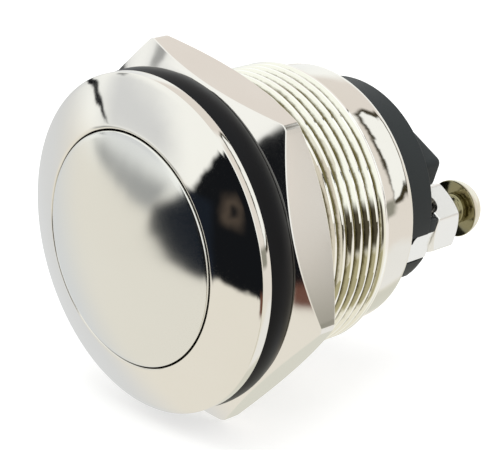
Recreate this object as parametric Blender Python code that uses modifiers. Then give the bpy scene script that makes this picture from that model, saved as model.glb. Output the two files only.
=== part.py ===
"""Domed metal push button for engine start, built to fit a 22 mm panel hole.

The button axis is world +Y, pointing from the domed head to the screw terminals. The origin is on
that axis, at the panel seat: the rear face of the gasket, where the front of the panel lies. All
pieces hang on one empty whose local +Z is that axis, so local z below is the depth behind the seat.
"""
import math

import bmesh
import bpy
from mathutils import Vector

MM = 0.001

# The size that sets the family: the thread that goes through the panel hole
THREAD_D = 22.0 * MM

# Head, bezel and cap
HEAD_OVERHANG = 1.7 * MM    # how far the domed bezel reaches out past the thread
BEZEL_FACE = 3.95 * MM      # width of the domed ring round the cap
DOME_R = 29.3 * MM          # one ball radius runs over bezel and cap
BAND_H = 0.82 * MM          # bright side band of the bezel
BAND_EDGE = 0.12 * MM       # small bevel on the band's edges
GASKET_H = 2.23 * MM
GASKET_PAST = 0.05 * MM     # how far the gasket's bulge reaches out past the bezel
CAP_GAP = 0.12 * MM         # running gap all round the cap
CAP_SKIRT_WALL = 0.6 * MM
DOME_WALL = 1.3 * MM
TRAVEL = 2.6 * MM           # full press of the button

# Threaded barrel
THREAD_END = 11.15 * MM     # depth where the thread runs out
THREAD_PITCH = 0.874 * MM
THREAD_DEPTH = 0.42 * MM
THREAD_TURNS = 12           # grooves from the gasket to the run-out
COLLAR_STEP = 0.65 * MM     # how much the collar stays inside the thread's crests
COLLAR_ROUND = 0.5 * MM
BARREL_END = 14.8 * MM
BARREL_WALL = 1.1 * MM      # wall of the collar round the rear bore
LIP_H = 0.8 * MM            # rolled lip that holds the base in
LIP_GRIP = 0.45 * MM        # how far the lip reaches in over the base
LIP_PLAY = 0.15 * MM        # between the lip and the base that stands out of it
WEB_FRONT = 1.8 * MM        # the web carries the return spring and guides the stem
WEB_H = 4.2 * MM

# Cap stem and what it carries
SPRING_ROOM = 1.65 * MM     # ring between skirt and stem for the return spring
STEM_END = 7.4 * MM
STEM_WALL = 2.05 * MM
STEM_BORE_DEPTH = 6.4 * MM
SEAL_WIRE = 0.9 * MM
CLIP_H = 0.5 * MM
CLIP_W = 1.28 * MM
CLIP_GROOVE = 0.5 * MM
CLIP_OPENING = 50.0         # degrees left open in the retaining ring

# Nut
NUT_WALL = 1.65 * MM        # from the thread to the middle of a flat
NUT_H = 3.7 * MM
NUT_CORNER_H = 1.2 * MM     # straight edge left at each corner
NUT_SINK = 0.35 * MM        # countersink at both ends of the bore
NUT_TURN = 45.0             # degrees from a corner in local +y to where this nut stopped
CHAMFER = 30.0              # degrees, on the corners of every nut

# Springs
RETURN_SPRING_WIRE = 0.6 * MM
RETURN_SPRING_PLAY = 0.3 * MM   # from the skirt to the coil
RETURN_SPRING_TURNS = 3.25
BRIDGE_SPRING_WIRE = 0.3 * MM
BRIDGE_SPRING_D = 2.2 * MM
BRIDGE_SPRING_TURNS = 7.25

# Plunger and contact bridge
PLUNGER_TAIL = 0.72         # the tail's share of the stem's bore
PLUNGER_TAIL_END = 12.0 * MM
WINDOW_FRONT = 8.8 * MM
WINDOW_REAR = 11.4 * MM
SPRING_POCKET_D = 3.0 * MM
SPRING_POCKET_Z = 6.0 * MM
BRIDGE_PAST = 0.3 * MM      # how far the bridge reaches past its contacts
BRIDGE_W = 2.6 * MM
BRIDGE_T = 0.6 * MM
BRIDGE_EDGE = 0.1 * MM
CONTACT_D = 2.0 * MM
CONTACT_H = 0.5 * MM
CONTACT_RIM = 0.6           # share of its height that a contact's side takes
CONTACT_CROWN = 0.55        # share of its radius that a contact's flat crown takes
CONTACT_AT = 0.373          # the contacts' place as a share of the way from tail to chamber wall
LOST_MOTION = 0.6 * MM      # press left after the contacts meet

# Moulded base
BASE_END = 18.5 * MM
BASE_EDGE = 0.15 * MM
BASE_SHOULDER_GAP = 0.1 * MM
CHAMBER_WALL = 1.4 * MM
BARRIER_H = 1.75 * MM
BARRIER_ROOT = 0.5 * MM     # how deep barrier and curbs are rooted in the base
BARRIER_WALL = 2.2 * MM
BARRIER_ROUND = 0.5 * MM
EAR_L = 6.45 * MM
EAR_OUT = 5.9 * MM          # outer side of the ear at its tip
EAR_WALL = 2.5 * MM
EAR_TAPER = 10.5            # degrees, the ear widens from its tip to the middle wall
BASE_SEAL_H = 0.6 * MM
BASE_SEAL_WALL = 1.1 * MM
CURB_H = 0.75 * MM          # low curbs on the rim, on both sides of each terminal leg
CURB_T = 0.45 * MM
CURB_INSET = 0.05 * MM
CURB_SPANS = ((-12.8, -3.0), (10.0, 30.0))      # degrees from the row; the leg's slot ends the first

# Terminals and screws
TERMINAL_TURN = 20.0        # degrees the row of terminals is turned from level
EYE_D = 4.2 * MM            # round eye of the terminal under its nut
LEG_W = 2.5 * MM
LEG_NECK = 17.2 * MM        # depth where the narrow neck of the leg ends
LEG_ROUND = 0.7 * MM        # its rounded shoulder, as wide as the neck is narrower
LEG_T = 0.8 * MM            # strip thickness of the whole terminal
LEG_INSET = 0.25 * MM       # the leg's outer face inside the base's rim
LEG_TO_SCREW = 2.3 * MM     # from the leg's outer face to the screw's axis
LEG_SHIFT = 0.5 * MM       # the leg stands off the row's middle, away from the ear
BLADE_PAST = 0.4 * MM       # how far the blade reaches past its contact
BLOCK_AF = 5.0 * MM         # six sided block on the eye, tapped for the screw
BLOCK_H = 2.8 * MM
BLOCK_CORNER_H = 2.2 * MM
BLOCK_SINK = 0.15 * MM
BLOCK_TURN = -8.0           # degrees from a corner in local +y
ARCH_D = 1.75 * MM          # arched opening across the block's foot
ARCH_TOP = 0.95 * MM        # above the block's foot
ARCH_TURN = 20.0            # degrees from across the terminal row
SCREW_D = 2.5 * MM
SCREW_HEAD_D = 4.6 * MM
SCREW_HEAD_H = 2.15 * MM
SCREW_HEAD_STEP = 15        # degrees from point to point over the head
SCREW_L = 4.6 * MM
SCREW_POINT = 0.4 * MM
SCREW_LIFT = 2.08 * MM      # how far the screw is backed off its block
CROSS_W = 0.55 * MM
CROSS_L = 2.5 * MM
CROSS_DEPTH = 0.9 * MM

# Clearances
SEAT_GAP = 0.02 * MM        # between flat faces that seat on each other
RUN_GAP = 0.12 * MM         # between a sliding piece and its guide
SLOT_GAP = 0.1 * MM
THREAD_GAP = 0.08 * MM
PRESS_GAP = 0.05 * MM
OVERCUT = 1.0 * MM          # how far cutters reach past what they cut

# Facets round a turn
FINE = 60
MEDIUM = 40
SMALL = 24
NUT_FACETS = 72
COIL_FACETS = 16
BRIDGE_COIL_FACETS = 10

# Facets along an arc of a profile
ROUND_STEPS = 4
DOME_STEPS = 8
BULGE_STEPS = 6
WIRE_STEPS = 10
CURB_STEPS = 5


# Sizes that follow from the ones above
THREAD_R = THREAD_D / 2
HEAD_R = THREAD_R + HEAD_OVERHANG
COLLAR_R = THREAD_R - COLLAR_STEP
RIM_Z = -GASKET_H - BAND_H
FLANGE_REAR = -GASKET_H
CAP_R = HEAD_R - BEZEL_FACE
CAP_BORE_R = CAP_R + CAP_GAP
SKIRT_R = CAP_R - CAP_SKIRT_WALL
STEM_R = SKIRT_R - SPRING_ROOM
STEM_BORE_R = STEM_R - STEM_WALL
GUIDE_R = STEM_R + RUN_GAP
WEB_REAR = WEB_FRONT + WEB_H
REAR_BORE_R = COLLAR_R - BARREL_WALL
LIP_R = REAR_BORE_R - LIP_GRIP
CAP_SKIRT_END = WEB_FRONT - TRAVEL - 2 * RUN_GAP
SEAL_FLOOR_R = GUIDE_R - SEAL_WIRE - 2 * SEAT_GAP
SEAL_ROOM = SEAL_WIRE / 2 + SEAT_GAP
SEAL_Z = WEB_FRONT + SEAL_WIRE
CLIP_FLOOR_R = STEM_R - CLIP_GROOVE
CLIP_Z = WEB_REAR + SEAT_GAP
PLUNGER_FRONT = STEM_END - STEM_BORE_DEPTH + SEAT_GAP
PLUNGER_TAIL_R = PLUNGER_TAIL * STEM_BORE_R
BRIDGE_REAR = WINDOW_REAR - SEAT_GAP
BRIDGE_TRAVEL = TRAVEL - LOST_MOTION
MOVING_FOOT = BRIDGE_REAR + SEAT_GAP
FIXED_FACE = MOVING_FOOT + CONTACT_H + BRIDGE_TRAVEL + SEAT_GAP
FIXED_FOOT = FIXED_FACE + CONTACT_H
BLADE_FRONT = FIXED_FOOT + SEAT_GAP
CHAMBER_FLOOR = BLADE_FRONT + LEG_T + SEAT_GAP
BASE_R = LIP_R - LIP_PLAY
SHOULDER_R = REAR_BORE_R - BASE_SHOULDER_GAP
CHAMBER_R = SHOULDER_R - CHAMBER_WALL
CONTACT_R = PLUNGER_TAIL_R + CONTACT_AT * (CHAMBER_R - PLUNGER_TAIL_R)
BASE_FRONT = WEB_REAR + BASE_SEAL_H + 2 * SEAT_GAP
BASE_SHOULDER = BARREL_END - LIP_H - SEAT_GAP
LEG_OUT = BASE_R - LEG_INSET
LEG_IN = LEG_OUT - LEG_T
SCREW_AT = LEG_OUT - LEG_TO_SCREW
EYE_FRONT = BASE_END + SEAT_GAP
EYE_REAR = EYE_FRONT + LEG_T
BLOCK_FOOT = EYE_REAR + SEAT_GAP
SCREW_SEAT = BLOCK_FOOT + BLOCK_H + SCREW_LIFT
SCREW_END = SCREW_SEAT - SCREW_L
SCREW_TRAVEL = SCREW_LIFT - RUN_GAP
SCREW_HOLE_R = SCREW_D / 2 + THREAD_GAP
NUT_BORE_R = THREAD_R + THREAD_GAP


def clear_scene():
    for obj in list(bpy.data.objects):
        bpy.data.objects.remove(obj, do_unlink=True)


clear_scene()
model = bpy.data.collections.new("engine_start_push_button")
bpy.context.scene.collection.children.link(model)
tools = bpy.data.collections.new("cutters")
bpy.context.scene.collection.children.link(tools)

axis = bpy.data.objects.new("button_axis", None)
axis.rotation_euler = (math.radians(-90), 0, 0)
model.objects.link(axis)
row = bpy.data.objects.new("terminal_row", None)
row.parent = axis
row.rotation_euler = (0, 0, math.radians(TERMINAL_TURN))
model.objects.link(row)


def material(name, colour, roughness, metallic):
    mat = bpy.data.materials.new(name)
    mat.use_nodes = True
    shader = mat.node_tree.nodes["Principled BSDF"]
    shader.inputs["Base Color"].default_value = (*colour, 1)
    shader.inputs["Roughness"].default_value = roughness
    shader.inputs["Metallic"].default_value = metallic
    return mat


NICKEL = (0.78, 0.74, 0.66)
BLACK = (0.045, 0.05, 0.052)


def place(name, mesh, mat, parent=axis, at=(0, 0, 0), cutter=False):
    obj = bpy.data.objects.new(name, mesh)
    obj.parent = parent
    obj.location = at
    (tools if cutter else model).objects.link(obj)
    if cutter:
        obj.hide_render = True
        obj.display_type = "WIRE"
    elif mat:
        mesh.materials.append(mat)
    return obj


def smooth(obj, angle=35):
    obj.data.shade_smooth()
    obj.data.set_sharp_from_angle(angle=math.radians(angle))


def arc(centre_r, centre_z, radius, start, end, count):
    """Points along an arc of the profile plane, angles in degrees from +r towards +z."""
    step = (end - start) / count
    return [(centre_r + radius * math.cos(math.radians(start + step * k)),
             centre_z + radius * math.sin(math.radians(start + step * k))) for k in range(count + 1)]


def dome_z(radius):
    """Depth of the domed front at a distance from the axis."""
    return RIM_Z + math.sqrt(DOME_R ** 2 - HEAD_R ** 2) - math.sqrt(DOME_R ** 2 - radius ** 2)


def dome_arc(outer, inner, count):
    """Points on the dome from an outer to an inner radius."""
    radii = [outer + (inner - outer) * k / count for k in range(count + 1)]
    return [(r, dome_z(r)) for r in radii]


def turned(name, profile, mat=None, parent=axis, at=(0, 0, 0), steps=FINE, cutter=False):
    """A turned piece: its profile starts at the outer rear edge and runs down the outside."""
    mesh = bpy.data.meshes.new(name)
    points = [(r, 0, z) for r, z in profile]
    on_axis = profile[0][0] == 0 and profile[-1][0] == 0
    edges = [(k, k + 1) for k in range(len(points) - 1)]
    if not on_axis:
        edges.append((len(points) - 1, 0))
    mesh.from_pydata(points, edges, [])
    obj = place(name, mesh, mat, parent, at, cutter)
    screw = obj.modifiers.new("turn", "SCREW")
    screw.axis = "Z"
    screw.angle = math.tau
    screw.steps = steps
    screw.render_steps = steps
    screw.use_merge_vertices = True
    screw.merge_threshold = 1e-7
    return obj


def box(name, size, at, mat=None, parent=axis, cutter=False):
    """A box with its sizes applied, centred in x and y, standing on its z."""
    mesh = bpy.data.meshes.new(name)
    shape = bmesh.new()
    bmesh.ops.create_cube(shape, size=1)
    bmesh.ops.scale(shape, vec=Vector(size), verts=shape.verts)
    bmesh.ops.translate(shape, vec=Vector((0, 0, size[2] / 2)), verts=shape.verts)
    shape.to_mesh(mesh)
    shape.free()
    return place(name, mesh, mat, parent, at, cutter)


def strip(name, r0, r1, width, z0, z1, side):
    """A box on the terminal row, from r0 to r1 on one side of the axis, off the row's middle."""
    middle = (side * (r0 + r1) / 2, side * LEG_SHIFT, z0)
    return box(name, (r1 - r0, width, z1 - z0), middle, None, row, True)


def prism(name, outline, z0, z1, parent=axis, cutter=False):
    """A straight walled body over an outline given anticlockwise."""
    mesh = bpy.data.meshes.new(name)
    shape = bmesh.new()
    face = shape.faces.new([shape.verts.new((x, y, 0)) for x, y in outline])
    raised = bmesh.ops.extrude_face_region(shape, geom=[face])["geom"]
    corners = [part for part in raised if isinstance(part, bmesh.types.BMVert)]
    bmesh.ops.translate(shape, vec=Vector((0, 0, z1 - z0)), verts=corners)
    bmesh.ops.recalc_face_normals(shape, faces=shape.faces)
    shape.to_mesh(mesh)
    shape.free()
    return place(name, mesh, None, parent, (0, 0, z0), cutter)


def rod(name, radius, z0, z1, mat=None, parent=axis, x=0.0, steps=MEDIUM, cutter=False):
    """A plain bar of round or six sided section from z0 to z1."""
    mesh = bpy.data.meshes.new(name)
    shape = bmesh.new()
    bmesh.ops.create_cone(shape, cap_ends=True, segments=steps, radius1=radius, radius2=radius,
                          depth=z1 - z0)
    shape.to_mesh(mesh)
    shape.free()
    return place(name, mesh, mat, parent, (x, 0, (z0 + z1) / 2), cutter)


def combine(obj, other, operation):
    change = obj.modifiers.new(operation.lower(), "BOOLEAN")
    change.operation = operation
    change.object = other
    change.solver = "EXACT"
    return change


def cut(obj, *cutters):
    for cutter in cutters:
        combine(obj, cutter, "DIFFERENCE")


def join(obj, *others):
    for other in others:
        combine(obj, other, "UNION")


def thread_profile():
    """The thread's crests and roots from the run-out forward, as plain ring grooves."""
    runout = COLLAR_STEP / 2
    crests = [THREAD_END - runout - k * THREAD_PITCH for k in range(THREAD_TURNS + 1)]
    profile = [(COLLAR_R, THREAD_END + runout), (THREAD_R, crests[0])]
    for crest in crests[1:]:
        profile += [(THREAD_R - THREAD_DEPTH, crest + THREAD_PITCH / 2), (THREAD_R, crest)]
    return profile


def make_shell():
    """Bezel, threaded barrel and collar are one turned brass piece, open from end to end."""
    profile = [
        (LIP_R, BARREL_END),
        *arc(COLLAR_R - COLLAR_ROUND, BARREL_END - COLLAR_ROUND, COLLAR_ROUND, 90, 0, ROUND_STEPS),
        *thread_profile(),
        (THREAD_R, FLANGE_REAR),
        (HEAD_R - BAND_EDGE, FLANGE_REAR),
        (HEAD_R, FLANGE_REAR - BAND_EDGE),
        (HEAD_R, RIM_Z + BAND_EDGE),
        *dome_arc(HEAD_R - BAND_EDGE, CAP_BORE_R, ROUND_STEPS),
        (CAP_BORE_R, WEB_FRONT),
        (GUIDE_R, WEB_FRONT),
        (GUIDE_R, WEB_REAR),
        (REAR_BORE_R, WEB_REAR),
        (REAR_BORE_R, BARREL_END - LIP_H),
        (LIP_R, BARREL_END - LIP_H),
    ]
    smooth(turned("bezel_barrel", profile, material("polished_nickel", NICKEL, 0.08, 1)))


def make_cap():
    """The pressed face, its skirt and the guide stem are one turned piece."""
    floor = dome_z(SKIRT_R) + DOME_WALL
    bore_floor = STEM_END - STEM_BORE_DEPTH
    profile = [
        (0, bore_floor),
        (STEM_BORE_R, bore_floor),
        (STEM_BORE_R, STEM_END),
        (STEM_R, STEM_END),
        (STEM_R, CLIP_Z + CLIP_H + SEAT_GAP),
        (CLIP_FLOOR_R, CLIP_Z + CLIP_H + SEAT_GAP),
        (CLIP_FLOOR_R, CLIP_Z - SEAT_GAP),
        (STEM_R, CLIP_Z - SEAT_GAP),
        (STEM_R, SEAL_Z + SEAL_ROOM),
        (SEAL_FLOOR_R, SEAL_Z + SEAL_ROOM),
        (SEAL_FLOOR_R, SEAL_Z - SEAL_ROOM),
        (STEM_R, SEAL_Z - SEAL_ROOM),
        (STEM_R, floor),
        (SKIRT_R, floor),
        (SKIRT_R, CAP_SKIRT_END),
        (CAP_R, CAP_SKIRT_END),
        *dome_arc(CAP_R, 0, DOME_STEPS),
    ]
    smooth(turned("button_cap", profile, material("satin_nickel", NICKEL, 0.2, 1)))


def make_cap_seal():
    """A round rubber ring in the stem's groove wipes the guide bore."""
    wire_r = SEAL_WIRE / 2
    middle = SEAL_FLOOR_R + SEAT_GAP + wire_r
    profile = arc(middle, SEAL_Z, wire_r, 90, -270, WIRE_STEPS)[:-1]
    smooth(turned("cap_seal", profile, material("seal_rubber", BLACK, 0.5, 0), steps=MEDIUM))


def make_retaining_ring():
    """An open spring steel ring snaps in the stem's groove and stops the cap at the web."""
    inner_r = CLIP_FLOOR_R + SEAT_GAP
    outer_r = inner_r + CLIP_W
    rear = CLIP_Z + CLIP_H
    profile = [(inner_r, rear), (outer_r, rear), (outer_r, CLIP_Z), (inner_r, CLIP_Z)]
    steel = material("spring_steel", (0.5, 0.5, 0.52), 0.3, 1)
    ring = turned("retaining_ring", profile, steel, steps=MEDIUM)
    mouth = 2 * inner_r * math.sin(math.radians(CLIP_OPENING / 2))
    gap = (2 * outer_r, mouth, 3 * CLIP_H)
    cut(ring, box("ring_mouth", gap, (outer_r, 0, CLIP_Z - CLIP_H), cutter=True))
    smooth(ring)


def make_spring(name, radius, wire, turns, z0, z1, points_a_turn, parent=axis):
    """An open coil of round wire that fills the room between two seats."""
    rise = z1 - z0 - wire - 2 * SEAT_GAP
    count = round(turns * points_a_turn)
    curve = bpy.data.curves.new(name, "CURVE")
    curve.dimensions = "3D"
    curve.bevel_depth = wire / 2
    curve.bevel_resolution = 2
    curve.use_fill_caps = True
    spline = curve.splines.new("POLY")
    spline.points.add(count)
    for k, point in enumerate(spline.points):
        share = k / count
        angle = math.tau * turns * share
        height = z0 + wire / 2 + SEAT_GAP + rise * share
        point.co = (radius * math.cos(angle), radius * math.sin(angle), height, 1)
    place(name, curve, None, parent)
    curve.materials.append(material(name + "_steel", (0.55, 0.55, 0.56), 0.25, 1))


def make_plunger():
    """A moulded plunger pressed in the stem; its window carries the sprung contact bridge."""
    head_r = STEM_BORE_R - PRESS_GAP
    profile = [
        (0, PLUNGER_TAIL_END),
        (PLUNGER_TAIL_R, PLUNGER_TAIL_END),
        (PLUNGER_TAIL_R, STEM_END),
        (head_r, STEM_END),
        (head_r, PLUNGER_FRONT),
        (0, PLUNGER_FRONT),
    ]
    plastic = material("plunger_plastic", (0.6, 0.58, 0.52), 0.5, 0)
    plunger = turned("plunger", profile, plastic, row, steps=MEDIUM)
    size = (2 * (PLUNGER_TAIL_R + OVERCUT), BRIDGE_W + 2 * RUN_GAP, WINDOW_REAR - WINDOW_FRONT)
    window = box("bridge_window", size, (0, 0, WINDOW_FRONT), parent=row, cutter=True)
    pocket = rod("spring_pocket", SPRING_POCKET_D / 2, SPRING_POCKET_Z, (WINDOW_FRONT + WINDOW_REAR) / 2,
                 parent=row, steps=SMALL, cutter=True)
    cut(plunger, window, pocket)
    smooth(plunger)


def make_bridge():
    """The moving contact bridge lies in the plunger's window, a rivet near each end."""
    brass = material("contact_brass", (0.7, 0.5, 0.25), 0.35, 1)
    length = 2 * (CONTACT_R + BRIDGE_PAST) + CONTACT_D
    size = (length, BRIDGE_W, BRIDGE_T)
    bridge = box("contact_bridge", size, (0, 0, BRIDGE_REAR - BRIDGE_T), brass, row)
    edge = bridge.modifiers.new("edge", "BEVEL")
    edge.width = BRIDGE_EDGE
    edge.segments = 1


def make_contact(name, side, face, foot):
    """A domed contact rivet between its foot on the carrier and its crown."""
    radius = CONTACT_D / 2
    outline = [(0, foot), (radius, foot), (radius, foot + CONTACT_RIM * (face - foot)),
               (CONTACT_CROWN * radius, face), (0, face)]
    if face > foot:
        outline.reverse()
    silver = material(name + "_silver", (0.8, 0.8, 0.8), 0.25, 1)
    smooth(turned(name, outline, silver, row, (side * CONTACT_R, 0, 0), SMALL))


def make_barrier():
    """The Z shaped wall between the terminals: a middle wall and a tapered ear at each end."""
    wall = BARRIER_WALL / 2
    wide = EAR_OUT + (EAR_L + wall) * math.tan(math.radians(EAR_TAPER))
    half = [(wall, EAR_WALL - EAR_OUT), (EAR_L, EAR_WALL - EAR_OUT), (EAR_L, -EAR_OUT), (-wall, -wide)]
    outline = [*half, *[(-x, -y) for x, y in half]]
    outline.reverse()
    barrier = prism("barrier", outline, BASE_END - BARRIER_ROOT, BASE_END + BARRIER_H, row, cutter=True)
    edge = barrier.modifiers.new("edge", "BEVEL")
    edge.width = BARRIER_ROUND
    edge.segments = 2
    return barrier


def make_base():
    """The moulded base: contact chamber in front, terminal row and Z shaped barrier behind."""
    profile = [
        (0, BASE_END),
        (BASE_R - BASE_EDGE, BASE_END),
        (BASE_R, BASE_END - BASE_EDGE),
        (BASE_R, BASE_SHOULDER),
        (SHOULDER_R, BASE_SHOULDER),
        (SHOULDER_R, BASE_FRONT),
        (CHAMBER_R, BASE_FRONT),
        (CHAMBER_R, CHAMBER_FLOOR),
        (0, CHAMBER_FLOOR),
    ]
    base = turned("terminal_base", profile, material("base_plastic", BLACK, 0.5, 0), row)
    join(base, make_barrier())
    curb_r = BASE_R - CURB_INSET
    for half_turn in (0, 180):
        for start, end in CURB_SPANS:
            span = (start + half_turn, end + half_turn)
            outline = arc(0, 0, curb_r, *span, CURB_STEPS)
            outline += arc(0, 0, curb_r - CURB_T, *span, CURB_STEPS)[::-1]
            join(base, prism(f"curb_{half_turn}_{start}", outline, BASE_END - BARRIER_ROOT,
                             BASE_END + CURB_H, row, cutter=True))
    for side in (1, -1):
        slot = strip(f"leg_slot_{side}", LEG_IN - SLOT_GAP, BASE_R + OVERCUT, LEG_W + 2 * SLOT_GAP,
                     BLADE_FRONT - SLOT_GAP, BASE_END + OVERCUT, side)
        pilot = rod(f"pilot_hole_{side}", SCREW_HOLE_R, SCREW_END - SCREW_TRAVEL - 2 * SLOT_GAP,
                    BASE_END + OVERCUT, parent=row, x=side * SCREW_AT, steps=SMALL, cutter=True)
        cut(base, slot, pilot)
    smooth(base)


def leg_shoulder(name, side):
    """What is cut away beside the neck, up to the leg's rounded shoulder; it lies across the row."""
    edge = LEG_SHIFT - LEG_W / 2
    front = BLADE_FRONT - OVERCUT
    curve = arc(LEG_NECK + LEG_ROUND, edge + LEG_ROUND, LEG_ROUND, 270, 180, ROUND_STEPS)
    outline = [(front, edge - OVERCUT), (LEG_NECK + LEG_ROUND, edge - OVERCUT), *curve,
               (front, edge + LEG_ROUND)]
    beside = prism(name + "_beside_neck", [(-z, side * y) for z, y in outline], 0,
                   2 * LEG_T + OVERCUT, row, cutter=True)
    beside.rotation_euler = (0, math.radians(90), 0)
    beside.location = (LEG_IN - LEG_T if side > 0 else -LEG_OUT - OVERCUT, 0, 0)
    return beside


def make_terminal(name, side):
    """One bent strip: an eye on the base, a leg down its side and a blade into the chamber."""
    plate = material(name + "_nickel", (0.85, 0.84, 0.82), 0.25, 1)
    eye = rod(name, EYE_D / 2, EYE_FRONT, EYE_REAR, plate, row, side * SCREW_AT, SMALL)
    blade_in = CONTACT_R - CONTACT_D / 2 - BLADE_PAST
    join(eye,
         strip(name + "_shoulder", SCREW_AT, LEG_OUT, LEG_W, EYE_FRONT, EYE_REAR, side),
         strip(name + "_leg", LEG_IN, LEG_OUT, LEG_W, BLADE_FRONT, EYE_REAR, side),
         strip(name + "_blade", blade_in, LEG_OUT, LEG_W, BLADE_FRONT, BLADE_FRONT + LEG_T, side))
    cut(eye, rod(name + "_hole", SCREW_HOLE_R, EYE_FRONT - OVERCUT, EYE_REAR + OVERCUT, parent=row,
                 x=side * SCREW_AT, steps=SMALL, cutter=True), leg_shoulder(name, side))
    smooth(eye)


def make_block(name, side):
    """The six sided block on the eye, with an arched opening across its foot."""
    make_nut(name, material(name + "_nickel", (0.84, 0.83, 0.8), 0.2, 1), BLOCK_AF, BLOCK_H, BLOCK_CORNER_H,
             BLOCK_SINK, SCREW_HOLE_R, BLOCK_FOOT, BLOCK_TURN, row, side * SCREW_AT, SMALL)
    arch = rod(name + "_arch", ARCH_D / 2, -BLOCK_AF, BLOCK_AF, None, row, side * SCREW_AT, SMALL, True)
    arch.rotation_euler = (math.radians(90), 0, math.radians(ARCH_TURN))
    arch.location.z = BLOCK_FOOT + ARCH_TOP - ARCH_D / 2
    cut(bpy.data.objects[name], arch)


def make_screw(name, side):
    """A round head screw with a cross recess, backed off its block."""
    head_r = SCREW_HEAD_D / 2
    shank_r = SCREW_D / 2
    crown = [(head_r * math.sin(math.radians(a)), SCREW_SEAT + SCREW_HEAD_H * math.cos(math.radians(a)))
             for a in range(0, 91, SCREW_HEAD_STEP)]
    profile = [*crown, (shank_r, SCREW_SEAT), (shank_r, SCREW_END + SCREW_POINT),
               (shank_r - SCREW_POINT, SCREW_END), (0, SCREW_END)]
    nickel = material(name + "_nickel", (0.72, 0.68, 0.6), 0.15, 1)
    screw = turned(name, profile, nickel, row, (side * SCREW_AT, 0, 0), SMALL)
    depth = SCREW_SEAT + SCREW_HEAD_H - CROSS_DEPTH
    for k, size in enumerate(((CROSS_L, CROSS_W, 2 * CROSS_DEPTH), (CROSS_W, CROSS_L, 2 * CROSS_DEPTH))):
        cut(screw, box(f"{name}_cross_{k}", size, (side * SCREW_AT, 0, depth), parent=row, cutter=True))
    smooth(screw)


def make_gasket():
    """A thick rubber ring seals the head against the panel; its rim bulges a little."""
    bulge_r = GASKET_H
    middle = (FLANGE_REAR + SEAT_GAP) / 2
    half = -middle
    lean = math.degrees(math.asin(half / bulge_r))
    bulge = arc(HEAD_R + GASKET_PAST - bulge_r, middle, bulge_r, lean, -lean, BULGE_STEPS)
    profile = [(NUT_BORE_R, 0), *bulge, (NUT_BORE_R, 2 * middle)]
    smooth(turned("panel_gasket", profile, material("gasket_rubber", BLACK, 0.45, 0)))


def make_nut(name, finish, across, height, straight, sink, bore_r, foot, turn, parent=axis, x=0.0,
             steps=NUT_FACETS):
    """A six sided nut turned to chamfers on both faces, with a countersunk plain bore."""
    corner_r = across / math.sqrt(3)
    chamfer_h = (height - straight) / 2
    slope = math.tan(math.radians(CHAMFER))
    face_r = corner_r - chamfer_h / slope
    top = foot + height
    nut = rod(name, corner_r, foot - OVERCUT, top + OVERCUT, finish, parent, x, steps=6)
    nut.rotation_euler = (0, 0, math.radians(turn))
    blank = [
        (bore_r + sink, top),
        (face_r, top),
        (corner_r + OVERCUT, top - chamfer_h - OVERCUT * slope),
        (corner_r + OVERCUT, foot + chamfer_h + OVERCUT * slope),
        (face_r, foot),
        (bore_r + sink, foot),
        (bore_r, foot + sink),
        (bore_r, top - sink),
    ]
    combine(nut, turned(name + "_blank", blank, None, parent, (x, 0, 0), steps, cutter=True), "INTERSECT")
    smooth(nut, 12)


def make_base_seal():
    front = WEB_REAR + SEAT_GAP
    rear = front + BASE_SEAL_H
    inner_r = SHOULDER_R - BASE_SEAL_WALL
    profile = [(inner_r, rear), (SHOULDER_R, rear), (SHOULDER_R, front), (inner_r, front)]
    turned("base_seal", profile, material("base_rubber", BLACK, 0.6, 0), steps=MEDIUM)


make_shell()
make_cap()
make_cap_seal()
make_retaining_ring()
make_spring("return_spring", SKIRT_R - RETURN_SPRING_PLAY - RETURN_SPRING_WIRE / 2, RETURN_SPRING_WIRE,
            RETURN_SPRING_TURNS, dome_z(SKIRT_R) + DOME_WALL, WEB_FRONT, COIL_FACETS)
make_plunger()
make_spring("contact_spring", BRIDGE_SPRING_D / 2, BRIDGE_SPRING_WIRE, BRIDGE_SPRING_TURNS,
            SPRING_POCKET_Z, BRIDGE_REAR - BRIDGE_T, BRIDGE_COIL_FACETS, row)
make_bridge()
for end_name, end_side in (("right", 1), ("left", -1)):
    make_contact("moving_contact_" + end_name, end_side, MOVING_FOOT + CONTACT_H, MOVING_FOOT)
    make_contact("fixed_contact_" + end_name, end_side, FIXED_FACE, FIXED_FOOT)
    make_terminal("terminal_" + end_name, end_side)
    make_block("terminal_block_" + end_name, end_side)
    make_screw("terminal_screw_" + end_name, end_side)
make_base()
make_base_seal()
make_gasket()
make_nut("panel_nut", material("nut_nickel", NICKEL, 0.12, 1), THREAD_D + 2 * NUT_WALL, NUT_H, NUT_CORNER_H,
         NUT_SINK, NUT_BORE_R, SEAT_GAP, NUT_TURN)
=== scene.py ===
# %% [markdown]
# # The looks of a domed metal start button
# The packed solids give every size, but their round faces are cut into flats. In this lesson each
# visible piece is turned or moulded again with many more points, in exactly the place of its solid,
# and every piece gets a finish made of shader nodes. Sizes are written in millimetres and MM turns
# them into Blender's metres. The button axis runs along +Y, from the dome to the terminals.

# %% load the frame
import math

import bmesh
import bpy
import numpy as np
from mathutils import Matrix, Vector


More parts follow.
